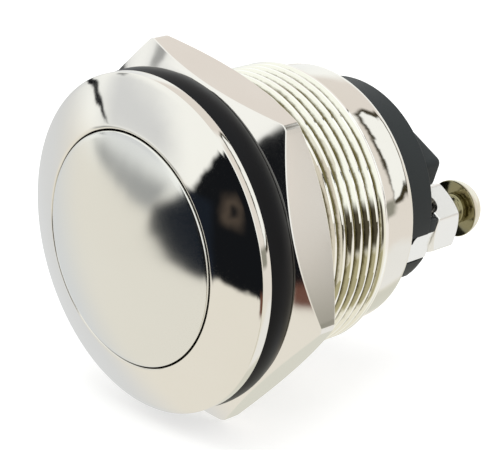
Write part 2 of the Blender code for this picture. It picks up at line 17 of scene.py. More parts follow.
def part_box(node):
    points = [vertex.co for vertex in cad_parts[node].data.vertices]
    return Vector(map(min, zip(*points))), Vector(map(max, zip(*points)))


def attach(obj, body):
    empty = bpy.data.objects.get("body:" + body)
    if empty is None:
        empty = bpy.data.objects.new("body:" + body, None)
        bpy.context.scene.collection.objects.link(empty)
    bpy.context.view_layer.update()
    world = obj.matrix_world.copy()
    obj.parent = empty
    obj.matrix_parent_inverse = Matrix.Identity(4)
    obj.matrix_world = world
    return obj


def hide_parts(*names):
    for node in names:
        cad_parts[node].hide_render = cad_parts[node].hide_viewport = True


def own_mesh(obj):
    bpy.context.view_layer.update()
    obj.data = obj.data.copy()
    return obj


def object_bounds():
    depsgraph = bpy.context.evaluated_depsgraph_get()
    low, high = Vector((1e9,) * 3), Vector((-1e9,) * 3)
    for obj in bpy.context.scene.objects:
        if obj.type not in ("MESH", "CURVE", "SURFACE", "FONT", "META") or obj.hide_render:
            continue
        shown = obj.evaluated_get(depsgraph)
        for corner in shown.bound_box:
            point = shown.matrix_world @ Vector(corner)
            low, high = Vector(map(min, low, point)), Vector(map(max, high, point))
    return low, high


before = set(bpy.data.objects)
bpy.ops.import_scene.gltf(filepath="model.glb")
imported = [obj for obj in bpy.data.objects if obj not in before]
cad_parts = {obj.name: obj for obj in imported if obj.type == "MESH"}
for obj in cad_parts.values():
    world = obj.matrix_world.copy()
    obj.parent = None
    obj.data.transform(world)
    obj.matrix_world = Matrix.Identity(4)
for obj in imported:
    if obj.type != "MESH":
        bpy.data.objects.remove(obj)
cad_low, cad_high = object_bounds()
MM = 0.001
print("CAD box in mm:", [round((b - a) / MM, 2) for a, b in zip(cad_low, cad_high)])

# %% [markdown]
# ## Camera
# The photo was taken from the right front, a little above, with a long lens from close by. The place
# of the camera came from fitting circles and corners of the button to the picture, so the same
# numbers frame the model. The lens shift centres the button as the photo does.

# %% camera
LOOK_AT = Vector((0, 6.95, 0)) * MM
BACK = Vector((0.69436, -0.64121, 0.32671))
DISTANCE = 146.0 * MM
camera = bpy.data.objects.new("photo_camera", bpy.data.cameras.new("photo_camera"))
bpy.context.scene.collection.objects.link(camera)
camera.location = LOOK_AT + BACK * DISTANCE
camera.rotation_mode = "QUATERNION"
camera.rotation_quaternion = BACK.to_track_quat("Z", "Y")
camera.data.lens = 138.76
camera.data.sensor_width = 36
camera.data.shift_x = 0.01045
camera.data.shift_y = -0.02087
camera.data.clip_start = 0.005
camera.data.clip_end = 20
bpy.context.scene.camera = camera
bpy.context.scene.view_settings.view_transform = "Standard"
print("camera at", [round(c, 4) for c in camera.location])

# %% [markdown]
# ## Shader sums as Python
# A finish is a sum of masks, noises and numbers. Wiring each Math node by hand hides the idea, so a
# small class wraps a socket: adding or multiplying two of them adds the Math node, and 1 - mask
# works too. Any other node comes from one method that sets the node's settings first and its
# sockets after.


# %% a socket that can be added and multiplied
class Wire:
    def __init__(self, paint, socket):
        self.paint, self.socket = paint, socket

    def _math(self, operation, *values):
        return self.paint.node("ShaderNodeMath", {"operation": operation}, dict(enumerate(values)))

    def __add__(self, other):
        return self._math("ADD", self, other)

    def __sub__(self, other):
        return self._math("SUBTRACT", self, other)

    def __rsub__(self, other):
        return self._math("SUBTRACT", other, self)

    def __mul__(self, other):
        return self._math("MULTIPLY", self, other)

    __radd__ = __add__
    __rmul__ = __mul__

    def into(self, node, name):
        """Link this socket to an input of a node."""
        self.paint.tree.links.new(self.socket, node.inputs[name])


print("sockets can be added, subtracted and multiplied")


# %% a finish under construction
class Paint:
    """The node tree of one finish, or of the studio's light."""

    def __init__(self, tree):
        self.tree = tree

    def node(self, kind, settings=None, sockets=None, out=0):
        """Any node: its settings first, then the values or links of its sockets."""
        made = self.tree.nodes.new(kind)
        for name, value in (settings or {}).items():
            setattr(made, name, value)
        for name, value in (sockets or {}).items():
            if isinstance(value, Wire):
                value.into(made, name)
            else:
                made.inputs[name].default_value = value
        return Wire(self, made.outputs[out])

    def vector(self, operation, *values, out=0):
        """A step of vector maths; its result may be a vector or, from out, a number."""
        return self.node("ShaderNodeVectorMath", {"operation": operation},
                         dict(enumerate(values)), out)

    def position(self):
        """The place on the piece in its own coordinates, in metres."""
        return self.node("ShaderNodeTexCoord", out="Object")

    def noise(self, vector, scale, detail=2.0, roughness=0.5):
        return self.node("ShaderNodeTexNoise", None, {
            "Vector": vector, "Scale": scale, "Detail": detail, "Roughness": roughness})

    def smooth(self, value, low, high, to_low=0.0, to_high=1.0):
        """An eased step: to_low where value is below low, to_high above high."""
        return self.node("ShaderNodeMapRange", {"interpolation_type": "SMOOTHSTEP"}, {
            "Value": value, "From Min": low, "From Max": high, "To Min": to_low, "To Max": to_high})

    def stretch(self, vector, factors):
        return self.vector("MULTIPLY", vector, factors)

    def dot(self, vector, direction):
        return self.vector("DOT_PRODUCT", vector, direction, out="Value")

    def mix(self, factor, first, second):
        """The first colour where factor is 0, the second where it is 1."""
        return self.node("ShaderNodeMix", {"data_type": "RGBA"},
                         {"Factor": factor, 6: first, 7: second}, out=2)

    def bump(self, height, strength, distance):
        return self.node("ShaderNodeBump", None, {
            "Height": height, "Strength": strength, "Distance": distance})


def finish(name):
    """An empty finish with its shader: returns the material, its paint and the shader node."""
    material = bpy.data.materials.new(name)
    material.use_nodes = True
    tree = material.node_tree
    return material, Paint(tree), tree.nodes["Principled BSDF"]


def colour(r, g, b):
    return (r, g, b, 1.0)


print("a paint can", [name for name in vars(Paint) if not name.startswith("_")])


# %% [markdown]
# ## Studio
# Polished metal shows nothing but its surroundings. The photo was shot in a white tent with a warm
# table below and something black in front of the dome. The world does the same: white above, cream
# below, and cards given by the directions of their corners as the button sees them. A later card
# lies over an earlier one, and a slow noise bends all their edges, as the dents in real plating do.
# The floor is pale and plain, and the metal sees the tent instead of it.


# %% directions and cards of the tent
def direction(azimuth, elevation):
    """A unit direction: azimuth 0 is straight in front of the dome, 90 is to its right."""
    a, e = math.radians(azimuth), math.radians(elevation)
    return Vector((math.sin(a) * math.cos(e), -math.cos(a) * math.cos(e), math.sin(e)))


def card(paint, ray, corners, edge):
    """A mask that is 1 inside a convex card, its corners given clockwise as seen by the button."""
    points = [direction(*corner) for corner in corners]
    mask = None
    for here, there in zip(points, points[1:] + points[:1]):
        side = there.cross(here).normalized()
        inside = paint.smooth(paint.dot(ray, side), -edge, edge)
        mask = inside if mask is None else mask * inside
    return mask


print("straight to the right is", [round(c, 3) for c in direction(90, 0)])


# %% the tent
WHITE, MILKY = colour(1.10, 1.12, 1.10), colour(0.95, 0.95, 0.93)
CREAM, PINKISH = colour(0.92, 0.89, 0.81), colour(0.90, 0.855, 0.80)
PALE_PINK, PALE_GREEN = colour(0.88, 0.83, 0.78), colour(0.74, 0.74, 0.66)
COOL, GREY = colour(0.78, 0.80, 0.82), colour(0.38, 0.39, 0.39)
TAN, SHADE = colour(0.46, 0.42, 0.27), colour(0.33, 0.325, 0.275)
SMOKE, OLIVE = colour(0.075, 0.064, 0.042), colour(0.05, 0.042, 0.022)
BROWN, REDDISH = colour(0.09, 0.07, 0.055), colour(0.16, 0.07, 0.05)
BLACK, BLUISH = colour(0.008, 0.009, 0.011), colour(0.012, 0.016, 0.024)
CARDS = [  # tone, softness of the edge, corners as (azimuth, elevation)
    # what the nut's and the collar's right side, the nut's top and the blocks see
    (PINKISH, 0.08, [(88, 48), (164, 48), (164, -24), (88, -24)]),
    (PALE_PINK, 0.08, [(168, 62), (-118, 62), (-118, 24), (168, 30)]),
    (PALE_GREEN, 0.10, [(176, -30), (-125, -30), (-125, -62), (176, -62)]),
    (MILKY, 0.06, [(138, -26), (174, -26), (174, -54), (138, -54)]),
    (SHADE, 0.035, [(116, 1.4), (133, 1.4), (133, -9), (116, -9)]),
    # the bent bright patch on the collar: three dark cards and three white ones on top
    (OLIVE, 0.02, [(134.5, 21), (147, 18), (143.5, 8), (138, -2.5), (132.7, -2.5), (132.5, 6)]),
    (OLIVE, 0.02, [(134, 20), (138, 29), (145.5, 38.5), (157, 29.5), (152.5, 22), (147, 15)]),
    (OLIVE, 0.02, [(145.5, 38), (157, 45.5), (170, 49.5), (177, 45), (167, 33.5), (156.5, 27.5)]),
    (WHITE, 0.012, [(136.1, 20.4), (144.2, 17.2), (140.7, 8.8), (136, 0.9), (133.2, 0), (133.1, 6)]),
    (WHITE, 0.012, [(136.1, 18.4), (139.8, 27.8), (147, 37.4), (154, 30), (149.5, 23.6),
                    (144.2, 15.6)]),
    (WHITE, 0.012, [(147, 35.8), (157.4, 43.6), (169, 47.6), (173, 45.6), (164.3, 36.2),
                    (154, 28.6)]),
    # the low flanks of the thread, the dome's left side and the grey bands above its wedge
    (TAN, 0.04, [(22, -24), (42, -24), (42, -56), (14, -56)]),
    (COOL, 0.20, [(-130, 24), (-76, 16), (-76, -60), (-130, -60)]),
    (COOL, 0.12, [(-66, 20), (-32, 17), (-26, 5), (-60, 3)]),
    (GREY, 0.04, [(-62, 0), (-52, 2), (-27, 1), (-33, -8.5), (-46, -5.5), (-60, -2.5)]),
    (GREY, 0.02, [(-67, 25), (-62, 25), (-60, 17), (-65, 17)]),
    (SMOKE, 0.07, [(24, 2), (42, 2), (42, -22), (24, -22)]),
    # the black shape in front of the dome, its pointed left end and the lighter things in it
    (BLACK, 0.03, [(10, 18), (18, 15), (22, 0), (24, -20), (20, -27), (14, -24)]),
    (BLACK, 0.02, [(-8, 15), (-5, 22), (8, 24), (18, 15), (12, 10), (-6, 12)]),
    (BLACK, 0.02, [(-11, 16), (4, 18), (16, 16), (18, -24), (3, -23.5), (-13, -19), (-20, 0)]),
    (BLUISH, 0.025, [(-19, 2.5), (-11, 0), (-11, -20), (-15, -21), (-27, -18), (-34, -11),
                     (-32, -5.5)]),
    (BROWN, 0.035, [(-8, 3.5), (-1.5, 3.5), (-1.5, -4.5), (-8, -4)]),
    (REDDISH, 0.03, [(9, -22), (17, -22), (16, -30), (8, -30)]),
    (BLACK, 0.02, [(-5.5, 1), (-3, 1), (-3, -2), (-5.5, -2)]),
    # the thin dark line across the top of the bezel
    (BLACK, 0.010, [(-84, 13.5), (-68, 8.8), (-52, 6.2), (-52, 4.4), (-68, 5.9), (-84, 7.5)]),
]
RIPPLE = 0.05         # how far the noise bends a card's edge, as a share of its distance
world = bpy.data.worlds.new("white_tent")
bpy.context.scene.world = world
world.use_nodes = True
tent = Paint(world.node_tree)
ray = tent.node("ShaderNodeTexCoord", out="Generated")
dents = tent.node("ShaderNodeTexNoise", None, {"Vector": ray, "Scale": 14.0, "Detail": 4.0},
                  out="Color")
dents = tent.vector("SUBTRACT", dents, (0.5, 0.5, 0.5))
wavy = tent.vector("ADD", ray, tent.stretch(dents, (RIPPLE, RIPPLE, RIPPLE)))
height = tent.dot(ray, direction(0, 90))
tone = tent.mix(tent.smooth(height, -0.12, 0.10), CREAM, WHITE)
for shade, edge, corners in CARDS:
    tone = tent.mix(card(tent, wavy, corners, edge), tone, shade)
sky = world.node_tree.nodes["Background"]
tone.into(sky, "Color")
sky.inputs["Strength"].default_value = 1.0
print("tent with", len(CARDS), "cards")

# %% floor and lamps
FLOOR_Z, FLOOR_R, FLOOR_POINTS = cad_low.z - 0.05 * MM, 3.0, 96
floor_mesh = bpy.data.meshes.new("floor")
ring = [(FLOOR_R * math.cos(math.tau * k / FLOOR_POINTS),
         FLOOR_R * math.sin(math.tau * k / FLOOR_POINTS), FLOOR_Z) for k in range(FLOOR_POINTS)]
floor_mesh.from_pydata(ring, [], [list(range(FLOOR_POINTS))])
floor = bpy.data.objects.new("floor", floor_mesh)
bpy.context.scene.collection.objects.link(floor)
pale, paint, shader = finish("pale_floor")
shader.inputs["Roughness"].default_value = 0.9
shader.inputs["Emission Color"].default_value = colour(1, 1, 1)
shader.inputs["Emission Strength"].default_value = 0.6
speck = paint.noise(paint.position(), 30.0, 4.0)
paint.mix(speck, colour(0.47, 0.47, 0.47), colour(0.50, 0.50, 0.50)).into(shader, "Base Color")
floor_mesh.materials.append(pale)
floor.visible_glossy = False
floor.visible_diffuse = False


def lamp(name, place, size, power):
    """A round soft light that shines at the button and isn't mirrored in it."""
    light = bpy.data.lights.new(name, "AREA")
    light.shape = "DISK"
    light.size = size
    light.energy = power
    holder = bpy.data.objects.new(name, light)
    holder.location = place
    holder.rotation_mode = "QUATERNION"
    holder.rotation_quaternion = (holder.location - LOOK_AT).to_track_quat("Z", "Y")
    holder.visible_glossy = False
    bpy.context.scene.collection.objects.link(holder)


lamp("top_softbox", Vector((0.05, -0.05, 0.6)), 0.5, 1.6)
lamp("side_softbox", Vector((0.5, 0.1, 0.35)), 0.4, 0.6)
print("floor at z mm", round(FLOOR_Z / MM, 2))

# %% [markdown]
# ## Turning a piece
# Most pieces of the button were turned on a lathe: one profile, swept round the axis. A profile is a
# list of corners (distance from the axis, depth), and a third number rounds the corner over, as a
# tool's nose does. Real edges are never razor sharp, and the small round is what catches the light.


# %% profiles with rounded corners
def rounded(corners, closed=True, arc_steps=4):
    """Profile points in millimetres, each corner replaced by an arc of its own radius."""
    points = []
    count = len(corners)
    for k, corner in enumerate(corners):
        here = Vector(corner[:2])
        radius = corner[2] if len(corner) > 2 else 0
        if not radius or (not closed and k in (0, count - 1)):
            points.append(tuple(here))
            continue
        before = (Vector(corners[k - 1][:2]) - here).normalized()
        after = (Vector(corners[(k + 1) % count][:2]) - here).normalized()
        half = before.angle(after) / 2
        middle = here + (before + after).normalized() * radius / math.sin(half)
        start = here + before * radius / math.tan(half) - middle
        end = here + after * radius / math.tan(half) - middle
        for step in range(arc_steps + 1):
            spoke = start.lerp(end, step / arc_steps).normalized() * radius
            points.append(tuple(middle + spoke))
    return points


def publish(name, mesh, finish_of, sharp=32, turned_by=0.0):
    """The object of a finished mesh, smooth shaded, turned about the button axis if asked."""
    obj = bpy.data.objects.new(name, mesh)
    bpy.context.scene.collection.objects.link(obj)
    mesh.shade_smooth()
    mesh.set_sharp_from_angle(angle=math.radians(sharp))
    mesh.materials.append(finish_of)
    obj.rotation_euler = (0, math.radians(turned_by), 0)
    return obj


def skin(name, rows, wrap_rows=False):
    """A closed mesh from rings of points; a ring of one point is a pole."""
    points, starts, faces = [], [], []
    for row in rows:
        starts.append(len(points))
        points.extend(row)
    pairs = list(zip(range(len(rows)), range(1, len(rows))))
    if wrap_rows:
        pairs.append((len(rows) - 1, 0))
    for a, b in pairs:
        n = max(len(rows[a]), len(rows[b]))
        for k in range(n):
            first = [starts[a] + k, starts[a] + (k + 1) % n] if len(rows[a]) > 1 else [starts[a]]
            last = [starts[b] + (k + 1) % n, starts[b] + k] if len(rows[b]) > 1 else [starts[b]]
            faces.append(first + last)
    mesh = bpy.data.meshes.new(name)
    mesh.from_pydata([tuple(c * MM for c in p) for p in points], [], faces)
    return mesh


def outward(mesh):
    """The same mesh with every face looking out."""
    shape = bmesh.new()
    shape.from_mesh(mesh)
    bmesh.ops.recalc_face_normals(shape, faces=shape.faces)
    shape.to_mesh(mesh)
    shape.free()
    return mesh


ON_AXIS = 1e-9        # a point nearer to the axis than this is a pole


def spun(name, profile, steps, centre=(0.0, 0.0)):
    """A mesh of the profile swept round the axis, or round another axis parallel to it."""
    rows = []
    for r, y in profile:
        turns = range(steps) if r > ON_AXIS else range(1)
        rows.append([(centre[0] + r * math.cos(math.tau * k / steps), y,
                      centre[1] + r * math.sin(math.tau * k / steps)) for k in turns])
    closed = profile[0][0] > ON_AXIS or profile[-1][0] > ON_AXIS
    return outward(skin(name, rows, wrap_rows=closed))


square = [(0, 0, 0.1), (1, 0, 0.1), (1, 1, 0.1), (0, 1, 0.1)]
print("a rounded square has", len(rounded(square)), "points")

# %% [markdown]
# ## Metal finishes
# The shell is polished nickel: almost a mirror, slightly warm, with the faintest haze where hands
# and polishing wheels went over it. The button's face is softer: it keeps fine rings from the lathe,
# which a noise that depends only on the distance from the axis draws, and they smear a reflection
# across themselves. The nut and the terminals are plated over plain turned and stamped brass. In
# the thread the plating is thin and dull, so it is brassy; that finish is tinted by depth and by
# distance from the axis, with painted shade darkening the roots and a painted highlight whitening
# the crests. Under the screws' heads a dull olive is painted shade.


# %% tints of the thread and the screws' necks, with painted shade and a painted highlight
# the dark root tone and the olive neck tone are painted shade, the pale crest tone a painted
# highlight
ROOT_PAINTED_SHADE, BRASSY_FLANK = colour(0.14, 0.12, 0.05), colour(0.86, 0.85, 0.76)
CREST_PAINTED_HIGHLIGHT, NECK_SHADE_OLIVE = colour(0.96, 0.955, 0.93), colour(0.30, 0.275, 0.16)


def axis_distance(paint, across=(1, 0, 1)):
    """Distance from the button axis in metres, from the piece's own coordinates."""
    flat = paint.stretch(paint.position(), across)
    return paint.vector("LENGTH", flat, out="Value")


def thread_tone_painted_light(paint, tone):
    """The plating is thin in the thread, so it is brassy all over; darker towards the roots is
    painted shade and the whiter crests are a painted highlight.
    """
    depth = paint.dot(paint.position(), (0, 1, 0))
    away = axis_distance(paint)
    thread = (paint.smooth(depth, -2.2 * MM, -1.9 * MM) * paint.smooth(depth, 11.4 * MM, 11.0 * MM)
              * paint.smooth(away, 9.8 * MM, 10.2 * MM))
    flecks = paint.noise(paint.stretch(paint.position(), (1.0, 3.0, 1.0)), 420.0, 6.0, 0.8)
    # painted shade: the thread grows dark towards its roots, the edge of that shade speckled by a
    # noise
    root = paint.smooth(away + (flecks - 0.5) * (0.4 * MM), 10.83 * MM, 10.64 * MM)
    # painted highlight: the crests are whitened
    crest = paint.smooth(away, 10.95 * MM, 10.99 * MM)
    flank_and_crest_highlight = paint.mix(crest, BRASSY_FLANK, CREST_PAINTED_HIGHLIGHT)
    return paint.mix(thread * root, paint.mix(thread, tone, flank_and_crest_highlight), ROOT_PAINTED_SHADE)


def neck_painted_shade(paint, tone):
    """Painted shade under the screw's head, where no light gets in: a dull olive on the underside
    and the top of the shank.
    """
    depth = paint.dot(paint.position(), (0, 1, 0))
    # painted shade: dull olive on the head's underside and the top of the shank
    neck = (paint.smooth(depth, 22.6 * MM, 23.8 * MM)
            * paint.smooth(depth, 24.45 * MM, 24.25 * MM))
    return paint.mix(neck, tone, NECK_SHADE_OLIVE)


print("the thread and the screws' necks have tints of their own")


# %% eight metal finishes from one function
def plated(name, warm, pale, rough, haze, grain, grain_height, turned=False, tint=None):
    """Metal in two tones, a hazy roughness and a fine grain in relief."""
    material, paint, shader = finish(name)
    place = paint.position()
    cloud = paint.noise(place, 160.0, 3.0)
    tone = paint.mix(cloud, colour(*warm), colour(*pale))
    if tint:
        tone = tint(paint, tone)
    tone.into(shader, "Base Color")
    shader.inputs["Metallic"].default_value = 1.0
    if turned:
        shader.inputs["Anisotropic"].default_value = 0.65
        shader.inputs["Anisotropic Rotation"].default_value = 0.25
        rings = axis_distance(paint, (1, 1, 0))
        lines = paint.node("ShaderNodeCombineXYZ", None, {"X": rings, "Y": rings * 0.4, "Z": 0.0})
        fine = paint.noise(lines, grain, 2.0, 0.7)
    else:
        fine = paint.noise(place, grain, 3.0, 0.6)
    hazy = paint.smooth(cloud, 0.3, 0.75, rough, rough + haze) + (fine - 0.5) * (haze * 0.5)
    hazy.into(shader, "Roughness")
    paint.bump(fine, 0.35, grain_height).into(shader, "Normal")
    return material


MIRROR = plated("polished_nickel", (0.79, 0.765, 0.71), (0.83, 0.815, 0.78),
                0.035, 0.03, 2500.0, 1e-7, tint=thread_tone_painted_light)
SATIN = plated("satin_nickel", (0.77, 0.765, 0.73), (0.80, 0.80, 0.77),
               0.11, 0.04, 9000.0, 1.2e-7, turned=True)
NUT_NICKEL = plated("nut_nickel", (0.80, 0.775, 0.735), (0.84, 0.82, 0.785),
                    0.07, 0.05, 3500.0, 3e-7)
TERMINAL_NICKEL = plated("terminal_nickel", (0.84, 0.84, 0.83), (0.9, 0.9, 0.89),
                         0.18, 0.08, 3500.0, 4e-7)
SCREW_NICKEL = plated("screw_nickel", (0.70, 0.66, 0.55), (0.80, 0.77, 0.68),
                      0.09, 0.06, 3500.0, 3e-7, tint=neck_painted_shade)
SPRING_STEEL = plated("spring_steel", (0.50, 0.50, 0.51), (0.62, 0.62, 0.62),
                      0.22, 0.1, 4000.0, 4e-7)
BRASS = plated("contact_brass", (0.68, 0.49, 0.24), (0.76, 0.58, 0.32), 0.28, 0.1, 3500.0, 4e-7)
SILVER = plated("contact_silver", (0.80, 0.80, 0.78), (0.86, 0.86, 0.85), 0.2, 0.08, 3500.0, 4e-7)
print("eight metal finishes")

# %% [markdown]
# ## Rubber and plastic
# The gasket is satin black rubber, a touch paler where it rubbed, with a skin like fine leather. The
# base is moulded thermoset: dark grey with a bluish cast, matte, its grain a little coarser. Both
# shine less than a usual plastic does, so their index of refraction is low.


# %% rubber and moulded plastic
def moulded(name, dark, pale, rough, spread, grain, grain_height):
    """Rubber or plastic in two dark tones, with a leathery grain in relief."""
    material, paint, shader = finish(name)
    place = paint.position()
    cloud = paint.noise(place, 220.0, 4.0, 0.6)
    paint.mix(cloud, colour(*dark), colour(*pale)).into(shader, "Base Color")
    shader.inputs["IOR"].default_value = 1.24
    fine = paint.noise(place, grain, 3.0, 0.6)
    paint.smooth(cloud, 0.3, 0.7, rough, rough + spread).into(shader, "Roughness")
    paint.bump(fine, 0.5, grain_height).into(shader, "Normal")
    return material


GASKET_RUBBER = moulded("gasket_rubber", (0.002, 0.0022, 0.0032), (0.004, 0.0043, 0.0055),
                        0.3, 0.12, 3800.0, 1e-6)
SEAL_RUBBER = moulded("seal_rubber", (0.012, 0.012, 0.013), (0.02, 0.02, 0.02),
                      0.5, 0.12, 3800.0, 2e-6)
BASE_PLASTIC = moulded("base_plastic", (0.017, 0.021, 0.024), (0.026, 0.030, 0.031),
                       0.42, 0.14, 5200.0, 2e-6)
ACETAL = moulded("plunger_plastic", (0.58, 0.56, 0.50), (0.66, 0.64, 0.58),
                 0.4, 0.12, 4200.0, 1e-6)
print("four moulded finishes")

# %% [markdown]
# ## Bezel and threaded barrel
# One turned piece of brass: the domed bezel, the barrel with its fine thread and the plain collar
# behind. The thread isn't rings: its crest climbs one pitch for each turn, so the radius at a point
# depends on its depth and on its angle together. The mesh is one sheet wound round the axis, with
# rows close enough for the thread, and the thread fades out where the tool left the metal.

# %% sizes of the shell
HEAD_R, DOME_R = 12.7, 29.3
GASKET_H, BAND_H = 2.23, 0.82
RIM_Y = -GASKET_H - BAND_H
CAP_R, CAP_GAP = 8.75, 0.12
SEAT_GAP = 0.02       # between two pieces that rest on each other
THREAD_R, THREAD_END, PITCH, THREAD_DEPTH = 11.0, 11.15, 0.874, 0.42
COLLAR_R, COLLAR_END, CROWN = 10.35, 14.8, 0.05
WEB_BORE_R, WEB_FRONT, WEB_BACK = 6.62, 1.8, 6.0      # the wall that guides the button's stem
CHAMBER_R, LIP_R, LIP_H = 9.25, 8.8, 0.8              # the room for the base and its rolled lip


def dome_y(r):
    """Depth of the dome's surface at a distance r from the axis."""
    return RIM_Y + math.sqrt(DOME_R ** 2 - HEAD_R ** 2) - math.sqrt(DOME_R ** 2 - r ** 2)


def dome_points(outer, inner, count):
    """Profile points on the dome from one distance to another."""
    distances = [outer + (inner - outer) * k / count for k in range(count + 1)]
    return [(r, dome_y(r)) for r in distances]


print("dome", round(RIM_Y - dome_y(0), 2), "mm high over the rim")

# %% the thread's form
def groove(y, angle, pitch, crest, flank):
    """0 on the crest of a helix, 1 at its root; crest and flank are shares of half a pitch."""
    climb = abs(((y / pitch - angle / math.tau) % 1.0) * 2 - 1)
    return min(1.0, max(0.0, (climb - crest) / flank))


def thread_drop(y, angle):
    """How far the shell's surface lies below the crest, in millimetres."""
    fade = min(1.0, max(0.0, (THREAD_END - y) / (0.7 * PITCH)))
    return THREAD_DEPTH * groove(y, angle, PITCH, 0.14, 0.78) * fade


STEPS = 240           # points round the shell
THREAD_ROWS = 16      # rows of points for each pitch
lip_r = CAP_R + CAP_GAP
front_profile = rounded([
    (lip_r, WEB_FRONT), (lip_r, dome_y(lip_r), 0.10),
    *dome_points(lip_r + 0.35, HEAD_R - 0.35, 26),
    (HEAD_R, RIM_Y + 0.01, 0.09), (HEAD_R, -GASKET_H, 0.06), (THREAD_R, -GASKET_H),
], closed=False)
middle = (THREAD_END + COLLAR_END) / 2
crown = [(COLLAR_R - CROWN * ((y - middle) / 1.5) ** 2, y)
         for y in np.linspace(middle - 1.2, middle + 1.2, 9)]
lip_y = COLLAR_END - LIP_H
back_profile = rounded([
    (COLLAR_R - CROWN, THREAD_END + 0.35, 0.12), *crown, (COLLAR_R - CROWN, COLLAR_END, 0.45),
    (LIP_R, COLLAR_END), (LIP_R, lip_y), (CHAMBER_R, lip_y), (CHAMBER_R, WEB_BACK),
    (WEB_BORE_R, WEB_BACK), (WEB_BORE_R, WEB_FRONT),
], closed=False)

# %% the shell
rows = [[(r, y)] * STEPS for r, y in front_profile]
thread_front = -GASKET_H + SEAT_GAP
count = round((THREAD_END - thread_front) / PITCH * THREAD_ROWS)
for k in range(count + 1):
    y = thread_front + (THREAD_END - thread_front) * k / count
    rows.append([(THREAD_R - thread_drop(y, math.tau * j / STEPS), y) for j in range(STEPS)])
rows += [[(r, y)] * STEPS for r, y in back_profile]
shell_rows = [[(r * math.cos(math.tau * j / STEPS), y, r * math.sin(math.tau * j / STEPS))
               for j, (r, y) in enumerate(row)] for row in rows]
shell_mesh = outward(skin("bezel_shell", shell_rows, wrap_rows=True))
shell = publish("bezel_shell", shell_mesh, MIRROR, sharp=40)
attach(shell, "housing")
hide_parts("bezel_barrel")
print("bezel_shell:", len(shell.data.polygons), "faces,", round(count / THREAD_ROWS, 1),
      "turns of thread")

# %% [markdown]
# ## Button face
# The face goes on with the same ball radius as the bezel, with a hair of a gap between them, so the
# two read as one dome. Its edge has the same small round as the bezel's lip. The mesh is laid with
# its own Z on the axis, because a smeared reflection runs round the mesh's own Z.

# %% button face
STEM_R, STEM_END = 6.5, 7.4
STEM_BORE_R, STEM_FLOOR = 4.45, 1.0
RING_ROOT_R, RING_FRONT, RING_BACK = 6.0, 6.0, 6.54
SEAL_ROOT_R, SEAL_FRONT, SEAL_BACK = 5.68, 2.23, 3.17
SKIRT_R, SKIRT_FRONT, SKIRT_BACK = 8.15, -3.54, -1.04
face_profile = rounded([
    (0, STEM_FLOOR), (STEM_BORE_R, STEM_FLOOR), (STEM_BORE_R, STEM_END), (STEM_R, STEM_END),
    (STEM_R, RING_BACK), (RING_ROOT_R, RING_BACK), (RING_ROOT_R, RING_FRONT), (STEM_R, RING_FRONT),
    (STEM_R, SEAL_BACK), (SEAL_ROOT_R, SEAL_BACK), (SEAL_ROOT_R, SEAL_FRONT), (STEM_R, SEAL_FRONT),
    (STEM_R, SKIRT_FRONT), (SKIRT_R, SKIRT_FRONT), (SKIRT_R, SKIRT_BACK),
    (CAP_R, SKIRT_BACK, 0.1), (CAP_R, dome_y(CAP_R), 0.13), *dome_points(CAP_R - 0.45, 0.0, 34),
], closed=False)
face_mesh = spun("button_face", face_profile, 240)
face_mesh.transform(Matrix.Rotation(math.radians(90), 4, "X"))
face = publish("button_face", face_mesh, SATIN)
face.rotation_euler = (math.radians(-90), 0, 0)
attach(face, "button")
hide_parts("button_cap")
print("button_face:", len(face.data.polygons), "faces")

# %% [markdown]
# ## Rubber gasket
# The thick ring behind the head is squeezed when the nut is drawn up, so its rim is a bulge. The
# two corners where it meets metal are soft.

# %% gasket
GASKET_R, GASKET_EDGE_R = 12.75, 12.3
THREAD_GAP = 0.08     # between the thread's crest and what slides over it
SLIDE_R = THREAD_R + THREAD_GAP
BULGE_TURN = math.radians(28.5)       # half of the arc that the bulge takes up
gasket_front, gasket_back = -GASKET_H + 0.025, -0.005
bulge_middle = -(GASKET_H - SEAT_GAP) / 2
bulge = [(GASKET_R - GASKET_H * (1 - math.cos(a)), bulge_middle + GASKET_H * math.sin(a))
         for a in np.linspace(BULGE_TURN, -BULGE_TURN, 15)]
gasket_profile = rounded([(SLIDE_R, gasket_back), (GASKET_EDGE_R, gasket_back, 0.1), *bulge,
                          (GASKET_EDGE_R, gasket_front, 0.1), (SLIDE_R, gasket_front)])
gasket_mesh = spun("rubber_gasket", gasket_profile, 200)
gasket = publish("rubber_gasket", gasket_mesh, GASKET_RUBBER, sharp=50)
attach(gasket, "housing")
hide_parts("panel_gasket")
print("rubber_gasket:", len(gasket.data.polygons), "faces")

# %% [markdown]
# ## Six sided nuts
# A nut starts as a hexagonal bar. The lathe then turns a cone over each end, which cuts the six
# corners into shallow curves. In polar terms: at each angle the flat is a known distance from the
# axis, and where that distance lies outside the face circle the cone has lowered the edge.


# %% a nut in polar rows
# places along one flat as shares of it, close together towards the corners
ALONG_FLAT = [0, 0.004, 0.009, 0.016, 0.026, 0.04, *np.linspace(0.06, 0.94, 19),
              0.96, 0.974, 0.984, 0.991, 0.996]
NUT_EDGE, CONE_SLOPE = 0.05, math.tan(math.radians(30))


